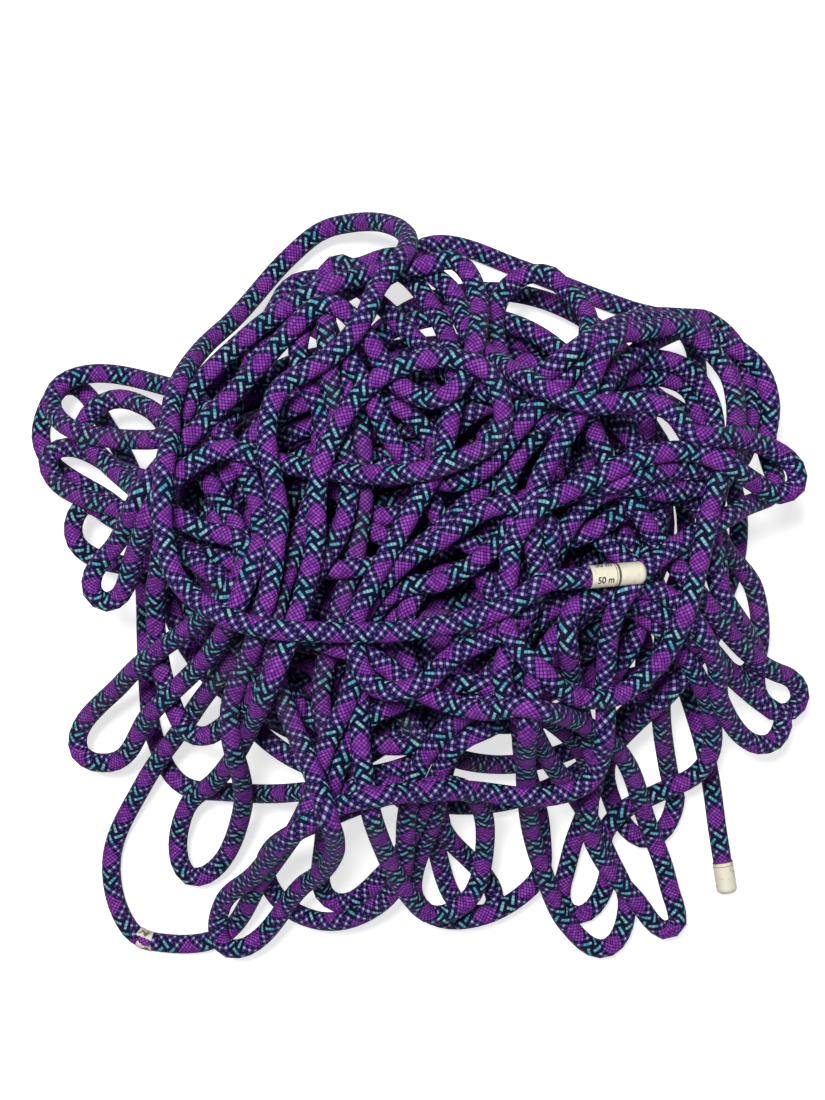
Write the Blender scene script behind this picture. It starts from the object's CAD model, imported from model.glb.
# %% [markdown]
# # A climbing rope in a loose heap
# Fifty metres of rope lie where they fell: loops at the rim, folds in the middle, one end on top
# and the other on the floor. The CAD model is the frame. It says where the two ends are and how
# high the heap is, and the pieces below are made on it, in metres.

# %% The frame
import math
import bmesh
import bpy
import numpy as np
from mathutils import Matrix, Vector


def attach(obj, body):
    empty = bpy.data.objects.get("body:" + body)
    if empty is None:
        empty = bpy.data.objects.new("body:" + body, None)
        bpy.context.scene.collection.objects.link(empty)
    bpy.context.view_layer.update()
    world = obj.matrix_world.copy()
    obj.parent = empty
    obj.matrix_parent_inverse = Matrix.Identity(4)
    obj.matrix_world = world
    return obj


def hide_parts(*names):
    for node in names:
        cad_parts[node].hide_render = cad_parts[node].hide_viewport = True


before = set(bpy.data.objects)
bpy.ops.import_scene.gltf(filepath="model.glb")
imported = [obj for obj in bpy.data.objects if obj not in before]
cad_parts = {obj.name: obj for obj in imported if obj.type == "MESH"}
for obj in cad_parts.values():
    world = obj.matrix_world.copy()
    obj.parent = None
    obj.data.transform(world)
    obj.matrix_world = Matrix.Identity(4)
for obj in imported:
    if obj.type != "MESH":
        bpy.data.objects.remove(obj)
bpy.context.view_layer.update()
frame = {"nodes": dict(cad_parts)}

nodes = frame["nodes"]
print("CAD nodes:", ", ".join(sorted(nodes)))

# %% [markdown]
# The camera hangs over the heap and looks straight down. A long lens from more than a metre away
# keeps the loops on the floor and those on top at nearly one scale. The longer side of the frame
# is the upright one, so the sensor's 36 mm lie along it.

# %% Camera
camera = bpy.data.objects.new("camera", bpy.data.cameras.new("camera"))
camera.location = (-.0014, .019, 1.25)
camera.rotation_euler = (0, 0, 0)
camera.data.lens = 71.7
bpy.context.scene.collection.objects.link(camera)
bpy.context.scene.camera = camera
print("camera", tuple(round(v, 4) for v in camera.location), "lens", camera.data.lens)

# %% [markdown]
# The rope is one long line, so its facts come first: how thick it is, where its ends are, and the
# runs that can be seen, from end B on the floor to end A on top. They are the runs of the CAD
# route, in the order they were laid. Each has the swing of the bend that leads to the next.

# %% The rope's facts
D = .0105
R = D / 2
SKIN = R * 1.012
END_B, B_HEADING = np.array([.174, -.154]), math.radians(-81)
END_A, A_HEADING = np.array([.080, .005]), math.radians(4.5)
STUB = 1.15 * D
RUNS = [
    # floor run from end B
    (50, [(168, -112), (164, -92)]),
    # right rim
    (60, [(188, -46), (189, -4), (165, 26)]),
    # upper right fan
    (30, [(165, 88), (160, 103), (155, 139)]),
    # upper edge
    (45, [(126, 154), (101, 163), (59, 179), (17, 192), (3, 189), (-10, 175)]),
    # long upright run
    (85, [(-49, 147), (-45, 135), (-28, 78), (-29, 28), (-45, -32), (-49, -62)]),
    # lower middle
    (15, [(7, -133), (24, -180), (34, -186)]),
    (110, [(45, -178), (15, -133), (12, -120)]),
    # lower left
    (60, [(-105, -116), (-132, -113), (-148, -86), (-152, -55)]),
    # left loops
    (200, [(-165, 39), (-211, 76), (-209, 99)]),
    (105, [(-162, 11), (-188, 25), (-181, 44), (-168, 38), (-153, 30)]),
    # folds in the middle
    (60, [(3, 21), (33, 49)]),
    # upper right fan
    (95, [(101, 105), (116, 111), (147, 105), (152, 93), (161, 82)]),
    # lower right
    (85, [(132, -56), (142, -108), (146, -121), (135, -143), (126, -143), (108, -115)]),
    # right rim
    (55, [(152, -35), (160, -22), (157, 23)]),
    (70, [(125, 46), (76, 24)]),
    # upper right fan
    (40, [(49, 59), (80, 95)]),
    (75, [(116, 119), (142, 116), (152, 107)]),
    # right hand bight
    (95, [(160, -2), (184, -35), (190, -62), (201, -71), (211, -67), (210, -55), (191, -45)]),
    # upper right fan
    (120, [(97, 68), (90, 83)]),
    # crest
    (75, [(78, 161), (69, 168), (47, 157), (48, 109)]),
    # upper right fan
    (65, [(92, 93), (97, 104), (133, 133)]),
    (25, [(179, 122), (186, 110), (180, 81)]),
    # right rim
    (65, [(161, 58), (135, 49), (103, 51), (93, 47)]),
    # folds in the middle
    (45, [(50, -32), (32, -55)]),
    # lower middle
    (90, [(11, -119), (5, -182), (67, -167), (70, -139), (57, -88), (55, -75)]),
    # long arc and lower bight
    (25, [(-2, -58), (-27, -71), (-49, -137), (-45, -176), (-13, -155), (-6, -143)]),
    # arch over the lower right
    (75, [(9, -105), (22, -81), (45, -67), (56, -24), (78, -7), (108, -9), (145, -42),
          (162, -88)]),
    # lower right
    (75, [(105, -144), (109, -162), (95, -187), (85, -184), (87, -155), (97, -113)]),
    # lower middle
    (35, [(31, -62), (8, -83)]),
    (115, [(-4, -119), (-12, -167), (-46, -187), (-69, -181), (-81, -165)]),
    (170, [(34, -116), (38, -143), (32, -170), (25, -177)]),
    # folds in the middle
    (40, [(-2, 1), (12, 2), (44, 24), (50, 33)]),
    # right rim
    (70, [(101, 53), (136, 61), (151, 60)]),
    # upper right fan
    (90, [(172, 130), (154, 142), (144, 142)]),
    (35, [(88, 118), (54, 83), (39, 64)]),
    # crest
    (100, [(7, 57), (-11, 74), (-24, 100)]),
    (95, [(-84, 130), (-117, 96)]),
    # big lower left loop, middle mark
    (40, [(-89, 2), (-96, -12), (-94, -29), (-119, -67), (-152, -112), (-172, -158),
          (-160, -198), (-148, -203), (-109, -198), (-83, -159)]),
    # lower middle
    (40, [(-52, -105), (-48, -88), (-30, -42), (-31, -28)]),
    # folds in the middle
    (70, [(1, 18), (9, 22), (45, 42), (67, 33), (66, 9)]),
    # lower right bight
    (70, [(47, -58), (55, -66), (70, -91), (90, -119), (108, -152), (119, -181), (107, -205),
          (85, -190), (70, -156)]),
    # fold right of the middle
    (110, [(59, -49), (64, -35), (87, -11)]),
    # right rim
    (110, [(193, -67), (201, -72), (192, -87), (160, -58), (158, -44), (126, -3), (99, -3)]),
    # lower right
    (55, [(89, -73), (97, -102), (94, -116)]),
    # long lower arc and right hand bight
    (85, [(120, -172), (144, -193), (142, -169), (129, -133), (108, -88), (52, -58),
          (38, -61), (8, -55), (-27, -33), (-38, -31)]),
    # left loops
    (110, [(-145, 35), (-203, 67), (-197, 75), (-155, 60), (-139, 56)]),
    # crest
    (120, [(-74, 149), (-67, 161), (-55, 165)]),
    # right rim
    (120, [(51, 102), (110, 136), (147, 136), (182, 118), (190, 97), (188, 74), (191, 51),
          (173, 42), (114, 7)]),
    # lower sweep and left hand bight
    (135, [(77, -108), (12, -104), (-34, -109), (-68, -132), (-86, -155), (-106, -176),
          (-107, -200), (-98, -203), (-59, -161), (-51, -154)]),
    # upright run
    (55, [(-72, -19), (-57, 34)]),
    # crest
    (65, [(-49, 91), (-60, 114), (-61, 128)]),
    (75, [(-9, 169), (6, 153), (20, 117), (14, 69), (-1, 40), (-22, 2), (-31, -22)]),
    # folds in the middle
    (70, [(9, -45), (13, -39), (54, -14)]),
    # upper right fan
    (80, [(61, 51), (81, 86), (101, 127), (110, 129)]),
    (70, [(159, 118), (165, 109), (165, 78), (160, 69)]),
    # fold right of the middle
    (50, [(131, -28), (124, -39), (100, -56), (74, -52), (66, -44)]),
    # folds in the middle
    (10, [(43, -4), (47, 6), (47, 19), (53, 31)]),
    # right hand tip
    (25, [(59, 39), (77, 49), (136, 69), (173, 54), (185, 48), (196, 51), (196, 62),
          (164, 76)]),
    # upper right fan
    (55, [(137, 78), (129, 88), (103, 93), (93, 91)]),
    # crest
    (20, [(27, 135), (20, 156), (8, 167)]),
    (50, [(-12, 175), (-34, 168), (-43, 170), (-46, 147)]),
    # upright run
    (40, [(-38, 77), (-34, 61), (-38, 30), (-53, 4), (-61, -20)]),
    # lower left
    (55, [(-92, -66), (-117, -80), (-133, -57), (-138, -9), (-133, 16), (-132, 32)]),
    # left loops
    (40, [(-136, 89), (-143, 95), (-165, 101), (-180, 89), (-179, 79), (-170, 70)]),
    # left fold
    (20, [(-122, 36), (-111, 30), (-86, 20), (-92, 0)]),
    # left tip
    (35, [(-115, -20), (-158, -52), (-187, -93), (-166, -98), (-144, -71), (-104, -32)]),
    # upright run
    (50, [(-81, 13), (-78, 23), (-87, 58), (-93, 67)]),
    # far left loop
    (15, [(-131, 107), (-194, 112), (-199, 97), (-140, 77)]),
    # crest
    (45, [(-125, 85), (-115, 106), (-86, 134), (-60, 150)]),
    (75, [(3, 169), (23, 171), (29, 117)]),
    (30, [(-15, 111), (-21, 124), (-47, 147), (-56, 141), (-92, 104), (-130, 63)]),
    # left bight
    (75, [(-155, 24), (-171, 3), (-168, -7), (-158, -7), (-146, 16), (-124, 55), (-96, 71),
          (-86, 68)]),
    # top bight
    (75, [(18, 63), (40, 75), (45, 88), (33, 112), (-16, 109), (-48, 62), (-51, 20),
          (-57, -6)]),
    # small lower left loop
    (10, [(-109, -107), (-127, -124), (-130, -161), (-122, -165), (-94, -122), (-95, -61),
          (-81, -27), (-71, 12)]),
    # left shoulder
    (45, [(-71, 18), (-69, 32), (-76, 83), (-68, 104), (-59, 109)]),
    # upper left loop
    (40, [(-25, 141), (-21, 153), (-4, 180), (-6, 190), (-47, 199), (-68, 186), (-102, 144),
          (-116, 126), (-127, 92), (-126, 80)]),
    # top run to end A
    (0, [(-127, 27), (-119, 3), (-93, -15), (-39, -22), (5, -20), (45, -9)]),
]
RUNS = [(swing / 1000, np.array(points) / 1000) for swing, points in RUNS]
print(len(RUNS), "runs with", sum(len(p) for _, p in RUNS), "points")


# %% [markdown]
# A bend between two runs is a Hermite curve: it leaves along the first run and arrives along the
# second, and the swing says how far it carries on before it turns. The same curve, with the
# bisector as the heading at each point, rounds off the runs themselves.

# %% Curves in the plan
FINE = .002


def heading(angle):
    return np.array([math.cos(angle), math.sin(angle)])


def unit(v):
    return v / np.maximum(np.linalg.norm(v, axis=-1, keepdims=True), 1e-12)


def curve(p, u, q, v, t):
    t = np.asarray(t)[:, None]
    return ((2 * t**3 - 3 * t**2 + 1) * p + (t**3 - 2 * t**2 + t) * u
            + (3 * t**2 - 2 * t**3) * q + (t**3 - t**2) * v)


def link(a, b, swing):
    p, q = a[-1], b[0]
    n = max(2, int(max(np.linalg.norm(q - p), .6 * swing) / .022 + .5))
    return curve(p, unit(p - a[-2]) * swing, q, unit(b[1] - q) * swing, np.arange(1, n) / n)


def rounded(points, start, finish):
    step = np.diff(points, axis=0)
    length = np.linalg.norm(step, axis=1)
    way = np.vstack([start, unit(unit(step[:-1]) + unit(step[1:])), finish])
    parts = [curve(points[i], way[i] * l, points[i + 1], way[i + 1] * l,
                   np.arange(m := max(1, math.ceil(l / FINE))) / m)
             for i, l in enumerate(length)]
    return np.vstack(parts + [points[-1:]])


def arc_length(points):
    return np.concatenate([[0], np.cumsum(np.linalg.norm(np.diff(points, axis=0), axis=1))])


def evenly(points, step):
    s = arc_length(points)
    at = np.linspace(0, s[-1], int(round(s[-1] / step)) + 1)
    return np.column_stack([np.interp(at, s, column) for column in points.T])


# %% [markdown]
# Two thirds of the rope can't be seen. It lies in the mound as turns wound from the rim to the
# middle and back out again, layer on layer. Each turn is a circle pulled apart along the mound's
# long axis, a rope's width inside the turn before it, and the layers get smaller towards the top.
# The hole in the middle lies to one side in two layers and to the other side in the next two.
# A slow wave through the whole mound keeps the turns from looking machine wound.

# %% Buried turns
MOUND_AT, MOUND_TURN = np.array([0, .025]), math.radians(15)
MOUND_A, MOUND_B, MOUND_TOP, FULLNESS = .155, .110, .097, 3.4
LAYERS, LAYER, PITCH, HOLE, ASIDE = 8, .0094, .0108, .013, .011


def buried_layer(k, phi):
    size = (1 - ((R + LAYER * k + .003) / MOUND_TOP) ** 2) ** (1 / FULLNESS)
    outer, spread = MOUND_B * size - PITCH / 2, (MOUND_A - MOUND_B) * size
    rounds = (outer - HOLE) / PITCH
    t = np.linspace(0, rounds, int(rounds * 100))
    sense = -1 if k % 2 else 1
    t = t[::sense]
    phi = phi + 2 * np.pi * np.abs(t - t[0])
    reach = (outer - PITCH * t)[:, None]
    along = np.clip(np.cos(phi) / .35, -1, 1) * spread
    plan = np.column_stack([np.cos(phi), np.sin(phi)]) * reach
    plan[:, 0] += along
    plan[:, 1] += (-ASIDE if k // 2 % 2 else ASIDE) * t / rounds
    return np.column_stack([plan, np.full(len(t), R + LAYER * k)]), phi[-1]


def buried_turns():
    layers, phi = [], math.radians(-40)
    for k in range(LAYERS):
        layer, phi = buried_layer(k, phi)
        layers.append(layer)
    turns = evenly(np.vstack(layers), .012)
    for _ in range(6):
        turns[1:-1] = (turns[:-2] + 2 * turns[1:-1] + turns[2:]) / 4
    for _ in range(30):
        turns[1:-1, 2] = (turns[:-2, 2] + turns[1:-1, 2] + turns[2:, 2]) / 3
    along, across = heading(MOUND_TURN), heading(MOUND_TURN + math.pi / 2)
    plan = MOUND_AT + turns[:, :1] * along + turns[:, 1:2] * across
    x, y = plan.T.copy()
    layer = turns[:, 2] / LAYER
    plan[:, 0] += .005 * np.sin(18 * y + 1 + layer) + .0016 * np.sin(34 * (x + y) + 2 * layer)
    plan[:, 1] += .005 * np.sin(18 * x + 2 + layer) + .0016 * np.sin(34 * (x - y) + 1 + layer)
    plan += .004 * np.column_stack([np.sin(2.4 * layer), np.sin(1.7 * layer + 1)])
    return np.column_stack([plan, turns[:, 2]])


turns = buried_turns()
print("buried turns: %.1f m" % arc_length(turns)[-1])

# %% [markdown]
# The last of the hidden rope fell before the runs that show, and isn't wound at all. Loops as
# wide as a hand circle two and a half times round the mound, closer in each time. They are what
# can be made out in the gaps, and they keep the floor from showing through the heap.

# %% Fallen loops
LOOPS = 15


def fallen_loops():
    t = np.linspace(0, 1, 90 * LOOPS)
    round_mound = math.radians(210) + 2 * np.pi * t * 2.6
    loop = math.radians(300) + 2 * np.pi * LOOPS * t
    width = .047 + .007 * np.sin(5 * round_mound + 1)
    reach = 1.32 - .8 * t
    x = .097 * reach * np.cos(round_mound) + .02 + 1.05 * width * np.cos(loop)
    y = .084 * reach * np.sin(round_mound) - .008 + width * np.sin(loop)
    along, across = heading(MOUND_TURN), heading(MOUND_TURN + math.pi / 2)
    return evenly(MOUND_AT + x[:, None] * along + y[:, None] * across, .012)


loops = fallen_loops()
print("fallen loops: %.1f m" % arc_length(loops)[-1])

# %% [markdown]
# Seen from above the whole route is known now. Its control points are joined, rounded off and
# spaced evenly, with the buried turns between the first run and the second.

# %% The route seen from above
NODE_STEP = .008


def route():
    first, plan = RUNS[0][1], turns[:, :2]
    pieces = [(END_B - heading(B_HEADING) * STUB)[None], first, link(first, plan, .06),
              plan, link(plan, loops, .1), loops, link(loops, RUNS[1][1], .1)]
    before = sum(len(p) for p in pieces[:3])
    for (swing, run), (_, after) in zip(RUNS[1:], RUNS[2:]):
        pieces += [run, link(run, after, swing)]
    pieces += [RUNS[-1][1], (END_A - heading(A_HEADING) * STUB)[None]]
    points = np.vstack(pieces)
    fine = rounded(points, -heading(B_HEADING), heading(A_HEADING))
    fine = np.vstack([END_B, fine, END_A])
    s = arc_length(fine)
    gap = np.linalg.norm(np.diff(points, axis=0), axis=1)
    at = np.concatenate([[0], np.cumsum(np.maximum(1, np.ceil(gap / FINE)).astype(int))]) + 1
    buried = s[at[before:before + len(plan)]]
    plan = evenly(fine, NODE_STEP)
    along = np.linspace(0, s[-1], len(plan))
    inside = (along > buried[0]) & (along < buried[-1])
    return plan, along, inside, np.interp(along, buried, turns[:, 2])


plan, along, inside, wound_z = route()
print("route: %.2f m seen from above, %d steps" % (along[-1], len(plan)))

# %% [markdown]
# Heights come from laying. Wherever a later stretch passes over an earlier one it must lie a
# rope's width higher, measured between the two axes. A physics engine could drop the rope, but a
# heap of fifty metres takes it minutes and moves the loops away. Here the plan stays, and only
# the heights are worked out: each stretch sinks, stays as smooth as a stiff rope would, and is
# lifted off whatever it lies on, a few hundred times over.

# %% Where the rope passes over itself
def nearest(a, b, c, d):
    u, v, w = b - a, d - c, a - c
    uu, vv, uv = (u * u).sum(1), (v * v).sum(1), (u * v).sum(1)
    uw, vw = (u * w).sum(1), (v * w).sum(1)
    cross = uu * vv - uv * uv
    s = np.where(cross > 1e-14, np.clip((uv * vw - uw * vv) / np.maximum(cross, 1e-14), 0, 1), .5)
    t = np.clip((uv * s + vw) / vv, 0, 1)
    s = np.clip((uv * t - uw) / uu, 0, 1)
    return np.linalg.norm(w + u * s[:, None] - v * t[:, None], axis=1), s, t


def crossings(reach):
    middle = (plan[:-1] + plan[1:]) / 2
    upper, lower = [], []
    for i in range(0, len(middle), 400):
        d = middle[i:i + 400, None] - middle[None, :i + 400]
        a, b = np.nonzero((d * d).sum(2) < (reach + NODE_STEP) ** 2)
        keep = (along[a + i] - along[b] > 3.8 * D) & ~(inside[a + i] & inside[b])
        upper.append(a[keep] + i)
        lower.append(b[keep])
    i, j = np.concatenate(upper), np.concatenate(lower)
    d, s, t = nearest(plan[i], plan[i + 1], plan[j], plan[j + 1])
    near = d < reach
    return i[near], j[near], d[near], s[near], t[near]


TOUCH = .97 * D
over, under, apart, over_at, under_at = crossings(TOUCH)
print(len(over), "places where one step of the rope lies over another")

# %% [markdown]
# The two ends are straight, and the CAD solids say exactly where. The longest direction of such a
# solid's points is its axis. The last steps of the rope are held on those two lines.

# %% Where the ends are
def long_axis(name, outwards):
    """Where a straight CAD solid starts, which way it points and how long it is."""
    points = np.array([v.co for v in nodes[name].data.vertices])
    middle = points.mean(0)
    way = np.linalg.svd(points - middle, full_matrices=False)[2][0]
    way *= np.sign(way[:2] @ outwards)
    reach = (points - middle) @ way
    return middle + way * reach.min(), way, np.ptp(reach)


start_a, way_a, under_a = long_axis("end_a_sheath", heading(A_HEADING))
start_b, way_b, under_b = long_axis("end_b_sheath", heading(B_HEADING))
to_end = np.linalg.norm(plan - start_a[:2], axis=1)
print("end A starts at", start_a.round(4), "and end B at", start_b.round(4))

# %% [markdown]
# Laying goes in a few settlings. In each the rope sinks and is lifted off by turns, its feet are
# rounded upwards, and a light smoothing takes out the last kinks. Where two axes are still too
# close, the next settling lifts that place a little more.

# %% Laying
SAG = .0045
END_B_Z = .0058
SETTLINGS = 5


def lifted(z, lift):
    """Raises each stretch off the ones that it lies on."""
    short = (z[under] * (1 - under_at) + z[under + 1] * under_at + lift
             - z[over] * (1 - over_at) - z[over + 1] * over_at)
    low = short > 0
    higher = z.copy()
    np.maximum.at(higher, over[low], z[over[low]] + short[low])
    np.maximum.at(higher, over[low] + 1, z[over[low] + 1] + short[low])
    return higher


def held(z):
    """The wound turns stay, and both ends meet their CAD pieces."""
    z[inside] = wound_z[inside]
    z[:5] = END_B_Z
    z[-4:] = np.maximum(z[-4:], start_a[2] - way_a[2] * to_end[-4:])
    return z


def laid():
    z = np.full(len(plan), R)
    lift = np.sqrt(np.maximum(TOUCH**2 - apart**2, 0))
    for settling in range(SETTLINGS):
        for _ in range(60 if settling else 220):
            for m in (1, 2):
                z[m:-m] += .5 * ((z[:-2 * m] + z[2 * m:]) / 2 - z[m:-m])
            z = np.maximum(z - SAG, R)
            for _ in range(2):
                z = lifted(held(z), lift)
        for m in (1, 2, 3) * 3:
            z[m:-m] = np.maximum(z[m:-m], (z[:-2 * m] + z[2 * m:]) / 2)
            z = lifted(held(z), lift)
        for _ in range(2):
            z[1:-1] = (z[:-2] + 2 * z[1:-1] + z[2:]) / 4
        axis = np.column_stack([plan, held(z)])
        gap, _, _ = nearest(axis[over], axis[over + 1], axis[under], axis[under + 1])
        if settling < SETTLINGS - 1:
            lift += np.maximum(TOUCH - gap, 0) * ~inside[over]
    return axis, gap


axis, gap = laid()
print("laid %.2f m, top at %.0f mm, closest axes %.1f mm"
      % (arc_length(axis)[-1], (axis[:, 2].max() + R) * 1000, gap.min() * 1000))
print("end A: laid at z %.1f mm, CAD at %.1f mm" % (axis[-1, 2] * 1000, start_a[2] * 1000))

# %% [markdown]
# One skin runs from tip to tip. Rings of points stand square to the axis, and each ring is turned
# as little as possible from the one before it, so the skin doesn't wring. Where the rope can be
# seen the rings stand close together. Two UV maps go on: "lay" counts turns round the rope and
# metres along it, which is what a braid needs, and "OFBake" cuts the skin into strips that fill
# one square picture.

# %% The skin
SIDES = 12
STRIPS = 39
RING_STEP, BURIED_RING_STEP = .005, .009


def frames(path):
    way = unit(np.gradient(path, axis=0))
    side = np.zeros_like(way)
    side[0] = unit(np.cross(way[0], (0, 0, 1)))
    for i in range(1, len(way)):
        s = side[i - 1] - way[i] * (way[i] @ side[i - 1])
        side[i] = s / math.sqrt(s @ s)
    return side, np.cross(way, side)


def skin(name, path, radius, sides):
    n = len(path)
    side, up = frames(path)
    turn = np.arange(sides) / sides
    ring = (np.cos(2 * np.pi * turn)[None, :, None] * side[:, None]
            + np.sin(2 * np.pi * turn)[None, :, None] * up[:, None])
    points = (path[:, None] + ring * radius).reshape(-1, 3)
    i, k = np.meshgrid(np.arange(n - 1), np.arange(sides), indexing="ij")
    a, b = i * sides + k, i * sides + (k + 1) % sides
    quads = np.stack([a, b, b + sides, a + sides], axis=-1).reshape(-1, 4)
    s = arc_length(path)
    u = np.stack([k, k + 1, k + 1, k], axis=-1).reshape(-1, 4) / sides
    v = np.stack([s[i], s[i], s[i + 1], s[i + 1]], axis=-1).reshape(-1, 4)
    mesh = bpy.data.meshes.new(name)
    mesh.from_pydata(points.tolist(), [], quads.tolist())
    mesh.polygons.foreach_set("use_smooth", np.ones(len(quads), bool))
    lay = mesh.uv_layers.new(name="lay")
    lay.data.foreach_set("uv", np.stack([u, v], axis=-1).ravel())
    piece = bpy.data.objects.new(name, mesh)
    bpy.context.scene.collection.objects.link(piece)
    return piece, u, v


def rope_path():
    s = arc_length(axis)
    step = np.where(inside, BURIED_RING_STEP, RING_STEP)
    rings = np.concatenate([[0], np.cumsum(np.diff(s) / ((step[1:] + step[:-1]) / 2))])
    at = np.interp(np.arange(int(rings[-1]) + 1) * rings[-1] / int(rings[-1]), rings, s)
    i = np.clip(np.searchsorted(s, at, side="right") - 1, 0, len(s) - 2)
    way = np.gradient(axis, s, axis=0)
    l = (s[i + 1] - s[i])[:, None]
    t = ((at - s[i]) / l[:, 0])
    parts = [curve(axis[a], way[a] * g, axis[a + 1], way[a + 1] * g, [f])[0]
             for a, g, f in zip(i, l, t)]
    return np.array(parts)


path = np.vstack([start_b + np.outer(np.linspace(under_b, 0, 6), way_b), rope_path()[1:-1],
                  start_a + np.outer(np.linspace(0, under_a, 9), way_a)])
rope, u, v = skin("rope", path, SKIN, SIDES)
bake = rope.data.uv_layers.new(name="OFBake")
strip_length = v.max() / STRIPS * 1.0005
row = np.minimum(np.floor(v.mean(1) / strip_length), STRIPS - 1)[:, None]
start = np.full(STRIPS, 1e9)
np.minimum.at(start, row[:, 0].astype(int), v.min(1))
reach = max(v[row[:, 0] == k].max() - start[k] for k in range(STRIPS))
bake_u = (v - start[row.astype(int)]) / reach * .998 + .001
bake_v = (row + .03 + u * .94) / STRIPS
bake.data.foreach_set("uv", np.stack([bake_u, bake_v], axis=-1).ravel())
print("rope: %d rings, %d triangles, %.2f m" % (len(path), 2 * len(u), v.max()))
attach(rope, "root")
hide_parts("rope_lay", "heap_core", "end_a_sheath", "end_b_sheath")


# %% [markdown]
# A material here is a sum. A small class stands for one number on the surface, and writing
# a + b or 1 - a with it adds the Math node that does it.

# %% A number on the surface
class Number:
    def __init__(self, nodes, socket):
        self.nodes, self.socket = nodes, socket

    def maths(self, operation, *terms):
        return self.nodes.node("ShaderNodeMath", {"operation": operation}, dict(enumerate(terms)))

    def __add__(self, other): return self.maths("ADD", self, other)
    def __radd__(self, other): return self.maths("ADD", other, self)
    def __sub__(self, other): return self.maths("SUBTRACT", self, other)
    def __rsub__(self, other): return self.maths("SUBTRACT", other, self)
    def __mul__(self, other): return self.maths("MULTIPLY", self, other)
    def __rmul__(self, other): return self.maths("MULTIPLY", other, self)
    def __truediv__(self, other): return self.maths("DIVIDE", self, other)
    def __mod__(self, other): return self.maths("FLOORED_MODULO", self, other)
    def __lt__(self, other): return self.maths("LESS_THAN", self, other)
    def __gt__(self, other): return self.maths("GREATER_THAN", self, other)
    def floor(self): return self.maths("FLOOR", self)
    def sine(self): return self.maths("SINE", self)
    def power(self, other): return self.maths("POWER", self, other)
    def angle(self, other): return self.maths("ARCTAN2", self, other)
    def clamped(self): return self.nodes.node("ShaderNodeClamp", {}, {0: self})


# %% [markdown]
# Any other node comes from one method, which sets a node up and joins what goes in. A finish is
# a material with a few things that most of them need, such as noise, a place and a bump.

# %% Nodes and finishes
def colour(code):
    """The colour of a hex code, as Blender counts light."""
    value = [int(code[i:i + 2], 16) / 255 for i in (0, 2, 4)]
    return [v / 12.92 if v < .04045 else ((v + .055) / 1.055) ** 2.4 for v in value] + [1]


class Nodes:
    def __init__(self, owner, shader):
        owner.use_nodes = True
        self.owner, self.tree = owner, owner.node_tree
        self.shader = self.tree.nodes[shader]

    def node(self, kind, settings, inputs, output=0):
        made = self.tree.nodes.new(kind)
        for key, value in settings.items():
            setattr(made, key, value)
        for key, value in inputs.items():
            self.join(made.inputs[key], value)
        return Number(self, made.outputs[output])

    def join(self, socket, value):
        if isinstance(value, Number):
            self.tree.links.new(value.socket, socket)
        else:
            socket.default_value = value

    def show(self, socket, value):
        self.join(self.shader.inputs[socket], value)

    def mix(self, factor, a, b):
        return self.node("ShaderNodeMix", {"data_type": "RGBA"}, {0: factor, 6: a, 7: b}, 2)

    def seen(self):
        """1 where the camera, a reflection or a clear piece looks, 0 where only light falls."""
        rays = [self.node("ShaderNodeLightPath", {}, {}, ray)
                for ray in ("Is Camera Ray", "Is Glossy Ray", "Is Transmission Ray")]
        return (rays[0] + rays[1] + rays[2]).clamped()


class Finish(Nodes):
    def __init__(self, name, **constants):
        super().__init__(bpy.data.materials.new(name), "Principled BSDF")
        for socket, value in constants.items():
            self.shader.inputs[socket.replace("_", " ")].default_value = value

    def uv(self, name):
        place = self.node("ShaderNodeUVMap", {"uv_map": name}, {})
        return [self.node("ShaderNodeSeparateXYZ", {}, {0: place}, i) for i in (0, 1)]

    def together(self, x, y, z=0.0):
        return self.node("ShaderNodeCombineXYZ", {}, {0: x, 1: y, 2: z})

    def place(self):
        """Where a point is, in metres. A CAD node's object sits at zero."""
        return self.node("ShaderNodeTexCoord", {}, {}, "Object")

    def along(self, start, way):
        """Metres from start along way."""
        dot = self.node("ShaderNodeVectorMath", {"operation": "DOT_PRODUCT"},
                        {0: self.place(), 1: tuple(way)}, "Value")
        return dot - float(np.dot(start, way))

    def noise(self, scale, vector, detail=2):
        return self.node("ShaderNodeTexNoise", {},
                         {"Scale": scale, "Detail": detail, "Vector": vector})

    def chance(self, vector):
        return self.node("ShaderNodeTexWhiteNoise", {"noise_dimensions": "3D"}, {"Vector": vector})

    def bump(self, height, distance):
        self.show("Normal", self.node("ShaderNodeBump", {}, {
            "Strength": 1, "Distance": distance, "Height": height}))

    def on(self, *pieces):
        for piece in pieces:
            piece.data.materials.clear()
            piece.data.materials.append(self.owner)
        print(self.owner.name + ":", len(self.tree.nodes), "nodes")


# %% [markdown]
# The sheath is a braid of 48 yarns that work in pairs. Twelve pairs run up to the left round the
# rope and twelve to the right, over one and under one. Six pairs of each set are purple. The
# other six are black, black and teal in turn. Where purple meets purple a purple diamond shows,
# on the other side a black one with a pinwheel of teal, and between them the yarns are mixed. So
# the diamonds don't have to be painted: they come from the order of the yarns.
#
# The braid is worked out from the UV map alone. Where a yarn is on top, its crown is the bright
# part and the gap beside it is dark, and the same height makes the bump.

# %% Braided sheath
BRAID_PITCH = .0275
PAIRS = 12


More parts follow.
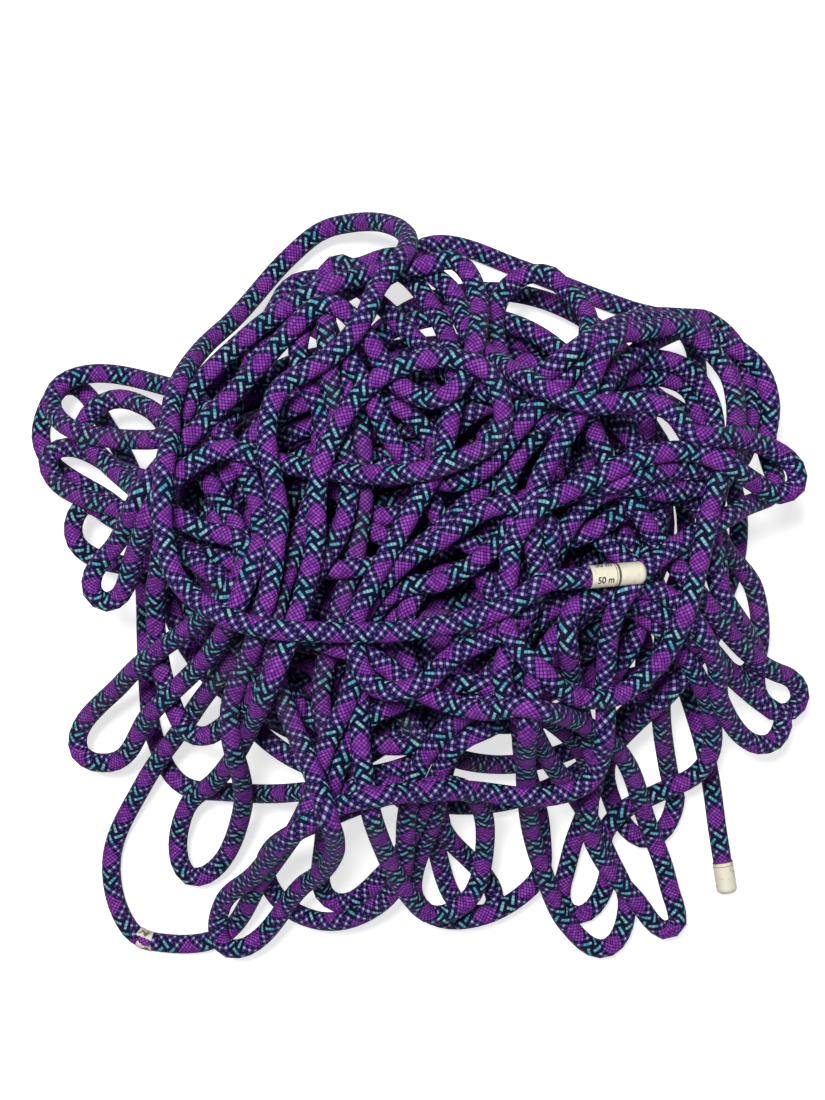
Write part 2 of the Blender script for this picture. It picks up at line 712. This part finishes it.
def braided(name):
    finish = Finish(name, Roughness=.6, Specular_IOR_Level=.1)
    turn, metres = finish.uv("lay")
    turn = turn + (metres * 2.3).sine() * .22 + metres * .13
    left, right = (turn + metres / BRAID_PITCH) * PAIRS, (turn - metres / BRAID_PITCH) * PAIRS
    i, j = left.floor(), right.floor()
    across_left, across_right = left - i, right - j
    left_over = ((i + j) % 2) < 1
    right_over = 1 - left_over
    top, under = i * left_over + j * right_over, j * left_over + i * right_over
    across = across_left * left_over + across_right * right_over
    length = across_right * left_over + across_left * right_over
    purple, purple_under = (top % 12) < 6, (under % 12) < 6
    teal = ((top + 2) % 3) < 1
    pair = (across * (1 - across) * 4).power(.9)
    yarn = (across * 2) % 1
    yarn = (yarn * (1 - yarn) * 4).power(.4)
    rise = (length * (1 - length) * 4).power(.6)
    height = pair * (yarn * .2 + .8) * (rise * .75 + .25)
    chance = finish.chance(finish.together(i, j))
    each = finish.chance(finish.together(top, left_over))
    violet = finish.mix(chance * .7 + each * .3, colour("882ab4"), colour("c868ee"))
    violet = finish.mix(purple_under, colour("6646a6"), violet)
    blue = finish.mix(chance, colour("4ab8da"), colour("b4e8f6"))
    blue = finish.mix(purple_under, blue, colour("c6c8f2"))
    dark = finish.mix(teal, finish.mix(chance, colour("050d28"), colour("0d2444")), blue)
    shade = finish.mix(purple, dark, violet)
    stretch = finish.noise(1, finish.together(metres * 5.2, turn * 1.1), 1)
    rubbed = finish.noise(1, finish.together(metres * 900, turn * 30), 2)
    worn = ((stretch - .6) * 9).clamped() * (rubbed * .6 + .1)
    shade = finish.mix(worn, shade, colour("6a5266"))
    bright = teal * (1 - purple)
    gap = (1 - height).power(.8) * (1 - worn * .3) * (1 - bright * .3)
    shade = finish.mix(gap, shade, colour("0a0220"))
    finish.show("Base Color", shade)
    finish.show("Roughness", .78 - height * .2 + worn * .15)
    finish.bump(height, .0004)
    return finish


sheath = braided("braided sheath")
sheath.on(rope, *(nodes[name] for name in
                  ("rope_lay", "heap_core", "end_a_sheath", "end_b_sheath")))

# %% [markdown]
# Each end of the rope is cut with a hot blade, which melts the yarns and the core together into
# a hard dark plug. A printed paper band goes round it and a sleeve is shrunk over both. Shrinking
# leaves the sleeve a little wavy, and handling leaves it grey in the hollows. The CAD solids have
# the right shapes, so they only need finishes. A CAD node's own coordinates are the part's
# metres, so a mark on it is put at its distance along the rope.

# %% Core strands, melted tips and paper bands
def along_end(start, way, finish):
    """Metres along an end of the rope, and radians round it."""
    north = unit(np.cross((0, 0, 1), way))
    around = finish.along(start, north).angle(finish.along(start, np.cross(way, north)))
    return finish.along(start, way), around


def twisted(name, start, way):
    finish = Finish(name, Roughness=.7, Specular_IOR_Level=.2)
    along, around = along_end(start, way, finish)
    ply = ((around * 13 + along * 900).sine() * .5 + .5).power(.6)
    strand = finish.noise(1, finish.together(along * 300, around * 9), 3)
    shade = finish.mix(ply * .7 + strand * .3, colour("b9b2a0"), colour("f2efe6"))
    finish.show("Base Color", shade)
    finish.bump(ply + strand * .4, .0003)
    return finish


def melted(name, start, way):
    finish = Finish(name, Roughness=.3, Specular_IOR_Level=.5)
    flow = finish.noise(420, finish.place(), 4)
    scorch = finish.noise(1400, finish.place(), 2)
    finish.show("Base Color", finish.mix(flow, colour("1a1026"), colour("6d4a80")))
    finish.show("Roughness", .2 + scorch * .35)
    finish.bump(flow * .7 + scorch * .3, .0004)
    return finish


def paper(name, start, way):
    finish = Finish(name, Roughness=.8, Specular_IOR_Level=.15)
    along, around = along_end(start, way, finish)
    fibre = finish.noise(1, finish.together(along * 2500, around * 12), 3)
    rule = ((along * 1000) % 6) < .5
    shade = finish.mix(fibre, colour("ddd6c0"), colour("f1ecdc"))
    finish.show("Base Color", finish.mix(rule, shade, colour("2b2924")))
    finish.bump(fibre, .00008)
    return finish


for end, start, way in (("a", start_a, way_a), ("b", start_b, way_b)):
    twisted("twisted core strands " + end, start, way).on(nodes["end_%s_core" % end])
    melted("melted tip " + end, start, way).on(nodes["end_%s_tip" % end])
    paper("paper band " + end, start, way).on(nodes["end_%s_band" % end])

# %% [markdown]
# A sleeve's film is smooth where it is pulled tight and waves a little between. Its dirt is worked
# out the same way as its print: distance along the rope says where, noise says how much.

# %% Shrunk sleeves
BARE, SLEEVE_A, SLEEVE_B = .004, .031, .018


def shrunk(name, start, way, length, lines, grime):
    finish = Finish(name, Specular_IOR_Level=.4)
    along, around = along_end(start, way, finish)
    along = along - BARE
    wave = finish.noise(1, finish.together(along * 90, around * .8), 2)
    grain = finish.noise(1700, finish.place(), 3)
    blot = finish.noise(260, finish.place(), 4)
    shade = finish.mix(wave, colour("faf2d6"), colour("fffbe8"))
    dirt = ((blot - .56) * 6).clamped() * grain * grime
    dirt = dirt + ((.0006 - along) * 2500).clamped() * .6
    dirt = dirt + ((along - length + .0022) * 450).clamped() * .35
    shade = finish.mix(dirt.clamped(), shade, colour("5f5644"))
    for at, width, ink in lines:
        edge = (grain - .5) * .00012
        line = ((along + edge) > at) * ((along + edge) < at + width)
        shade = finish.mix(line * (grain * .3 + .75).clamped(), shade, colour(ink))
    finish.show("Base Color", shade)
    finish.show("Roughness", .34 + blot * .2 + dirt.clamped() * .2)
    finish.bump(wave * .8 + grain * .06 + blot * .3, .0004)
    return finish


shrunk("sleeve a, shrunk on", start_a, way_a, SLEEVE_A,
       [(0, .0003, "4a2418"), (.0138, .0004, "55505a"), (.0149, .0013, "0e0c12")],
       .5).on(nodes["end_a_sleeve"])
shrunk("sleeve b, shrunk on", start_b, way_b, SLEEVE_B,
       [(0, .0003, "3a1c30"), (.0022, .0003, "57524c")], .9).on(nodes["end_b_sleeve"])

# %% [markdown]
# The rope's length is printed on sleeve A, four times round, so that it can be read from any
# side. Letters could be painted by the shader, but a font already has good outlines: the text
# becomes a mesh, is cut fine enough to bend, and is laid round the sleeve as a film of ink.

# %% Printed length
SLEEVE_R = .00583


def letters(text, size):
    font = bpy.data.curves.new("letters", "FONT")
    font.body, font.size, font.align_x, font.align_y = text, size, "CENTER", "CENTER"
    font.offset = size * .022
    flat = bpy.data.objects.new("letters", font)
    bpy.context.scene.collection.objects.link(flat)
    bpy.context.view_layer.update()
    graph = bpy.context.evaluated_depsgraph_get()
    mesh = bpy.data.meshes.new_from_object(flat.evaluated_get(graph))
    bpy.data.objects.remove(flat)
    cut = bmesh.new()
    cut.from_mesh(mesh)
    for _ in range(3):
        long = [edge for edge in cut.edges if edge.calc_length() > .0006]
        bmesh.ops.subdivide_edges(cut, edges=long, cuts=1)
        bmesh.ops.triangulate(cut, faces=cut.faces[:])
    points = np.array([v.co for v in cut.verts])
    faces = np.array([[v.index for v in f.verts] for f in cut.faces])
    return points, faces


def print_round(name, text, size, at, angles):
    points, faces = letters(text, size)
    north = unit(np.cross((0, 0, 1), way_a))
    zenith = np.cross(way_a, north)
    rounds = []
    for angle in np.radians(angles):
        turn = (angle + points[:, 1] / SLEEVE_R)[:, None]
        rounds.append(start_a + way_a * (BARE + at + points[:, :1] * .88)
                      + (zenith * np.cos(turn) + north * np.sin(turn)) * (SLEEVE_R + .00003))
    mesh = bpy.data.meshes.new(name)
    mesh.from_pydata(np.vstack(rounds).tolist(), [], np.vstack(
        [faces + k * len(points) for k in range(len(angles))]).tolist())
    piece = bpy.data.objects.new(name, mesh)
    bpy.context.scene.collection.objects.link(piece)
    print(name + ":", len(mesh.polygons), "triangles")
    return piece


printed_length = print_round("printed_length", "50 m", .0051, .0077, (-24, 66, 156, 246))
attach(printed_length, "root")
ink = Finish("black ink", Roughness=.5, Specular_IOR_Level=.3)
wear = ink.noise(2600, ink.place(), 3)
ink.show("Base Color", ink.mix(((wear - .55) * 5).clamped(), colour("16141a"), colour("5b5750")))
ink.on(printed_length)

# %% [markdown]
# The middle of the rope was marked with a turn of white cloth tape. It has worn through at the top
# and below, so two slivers are left. They are curved cuts of thin tape with frayed edges, built
# as one mesh over the CAD patches: each is a grid bent round the rope, its outline nibbled away.

# %% Middle mark
MARK = [(-.160, -.198), (-.148, -.203)]


def beside_rope(n, cut):
    """The rope's own line along the middle mark, cut short at its start, with the directions
    to its right and above it."""
    ends = [np.argmin(np.linalg.norm(path[:, :2] - p, axis=1) + path[:, 2]) for p in MARK]
    s = arc_length(path)
    at = np.linspace(s[ends[0]] - .0005 + cut, s[ends[1]] + .0005, n)
    centre = np.column_stack([np.interp(at, s, c) for c in path.T])
    way = unit(np.gradient(centre, axis=0))
    right = unit(np.cross(way, (0, 0, 1)))
    return centre, right, np.cross(right, way)


def sliver(low, high, frayed, cut):
    """A patch of tape between two angles round the rope, 0 on top, with frayed edges."""
    n, m = 36, 16
    centre, right, above = beside_rope(n, cut)
    t, f = np.linspace(0, 1, n)[:, None], np.linspace(0, 1, m)[None, :]
    low = low + 7 * np.sin(7 * t + frayed) + 3 * np.sin(29 * t + 2 * frayed)
    high = high + 6 * np.sin(5 * t + 2 * frayed) + 3 * np.sin(37 * t + frayed)
    angle = np.radians(low + (high - low) * f)
    border = np.minimum(np.minimum(t, 1 - t) * 18, np.minimum(f, 1 - f) * 9).clip(0, 1)
    ragged = .5 + .5 * np.sin(41 * f + 3 * frayed) * np.sin(23 * t + frayed)
    out = SKIN - .0002 + .0005 * border**.5 * (.8 + .2 * ragged)
    points = (centre[:, None] + out[..., None] * (right[:, None] * np.sin(angle)[..., None]
              + above[:, None] * np.cos(angle)[..., None])).reshape(-1, 3)
    i, k = np.meshgrid(np.arange(n - 1), np.arange(m - 1), indexing="ij")
    a = (i * m + k).ravel()
    return points, np.column_stack([a, a + m, a + m + 1, a + 1])


def middle_slivers():
    (p, a), (q, b) = sliver(-112, -14, 1.1, 0), sliver(24, 118, 4.2, .0028)
    mesh = bpy.data.meshes.new("middle_mark")
    mesh.from_pydata(np.vstack([p, q]).tolist(), [], np.vstack([a, b + len(p)]).tolist())
    mesh.polygons.foreach_set("use_smooth", np.ones(len(mesh.polygons), bool))
    piece = bpy.data.objects.new("middle_mark", mesh)
    bpy.context.scene.collection.objects.link(piece)
    return piece


middle_mark = middle_slivers()
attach(middle_mark, "root")
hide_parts("middle_tape_inner", "middle_tape_outer")
cloth = Finish("worn cloth tape", Roughness=.85, Specular_IOR_Level=.15)
smudge = cloth.noise(210, cloth.place(), 4)
weave = cloth.noise(3400, cloth.place(), 1)
pale = cloth.mix(weave, colour("f2e8d0"), colour("fffcf0"))
cloth.show("Base Color", cloth.mix(((smudge - .54) * 9).clamped() * .9, pale, colour("3f3b2a")))
cloth.bump(weave * .4 + smudge, .0003)
cloth.on(middle_mark, nodes["middle_tape_inner"], nodes["middle_tape_outer"])

# %% [markdown]
# Soft studio light: one big lamp above, a weaker one at the side, and a pale sky that is dim for
# the light it gives and white for whoever looks at it. The floor is white wherever the camera, a
# reflection or a clear piece looks at it, and still keeps the heap's shadow. It glows more further
# out, so that no horizon shows from the side.

# %% Floor and light
floor_mesh = bpy.data.meshes.new("floor")
floor_mesh.from_pydata([(-6, -6, -.0003), (6, -6, -.0003), (6, 6, -.0003), (-6, 6, -.0003)], [],
                       [(0, 1, 2, 3)])
floor = bpy.data.objects.new("floor", floor_mesh)
bpy.context.scene.collection.objects.link(floor)
white = Finish("white floor", Roughness=1, Specular_IOR_Level=0, Emission_Strength=1)
looks = white.seen()
white.show("Base Color", white.mix(looks, (.3, .3, .3, 1), (.85, .85, .85, 1)))
across, back = (white.along((0, 0, 0), way) for way in ((1, 0, 0), (0, 1, 0)))
away = (((across * across + back * back).power(.5) - .4) * 2.5).clamped()
white.show("Emission Color", white.mix(looks, (0, 0, 0, 1),
                                       white.mix(away, (.7, .7, .7, 1), (1, 1, 1, 1))))
white.on(floor)


def lamp(name, place, size, power):
    light = bpy.data.lights.new(name, "AREA")
    light.shape, light.size, light.energy = "DISK", size, power
    made = bpy.data.objects.new(name, light)
    made.location = place
    made.rotation_euler = Vector(place).to_track_quat("Z", "Y").to_euler()
    bpy.context.scene.collection.objects.link(made)
    return made


lamp("lamp over", (-.2, .3, 1.8), .35, 27)
lamp("lamp side", (1.2, -.6, 1.3), .8, 2)
bpy.context.scene.world = bpy.data.worlds.new("sky")
sky = Nodes(bpy.context.scene.world, "Background")
sky.show("Color", (1, 1, 1, 1))
sky.show("Strength", sky.seen() * .92 + .08)
bpy.context.scene.view_settings.view_transform = "Standard"
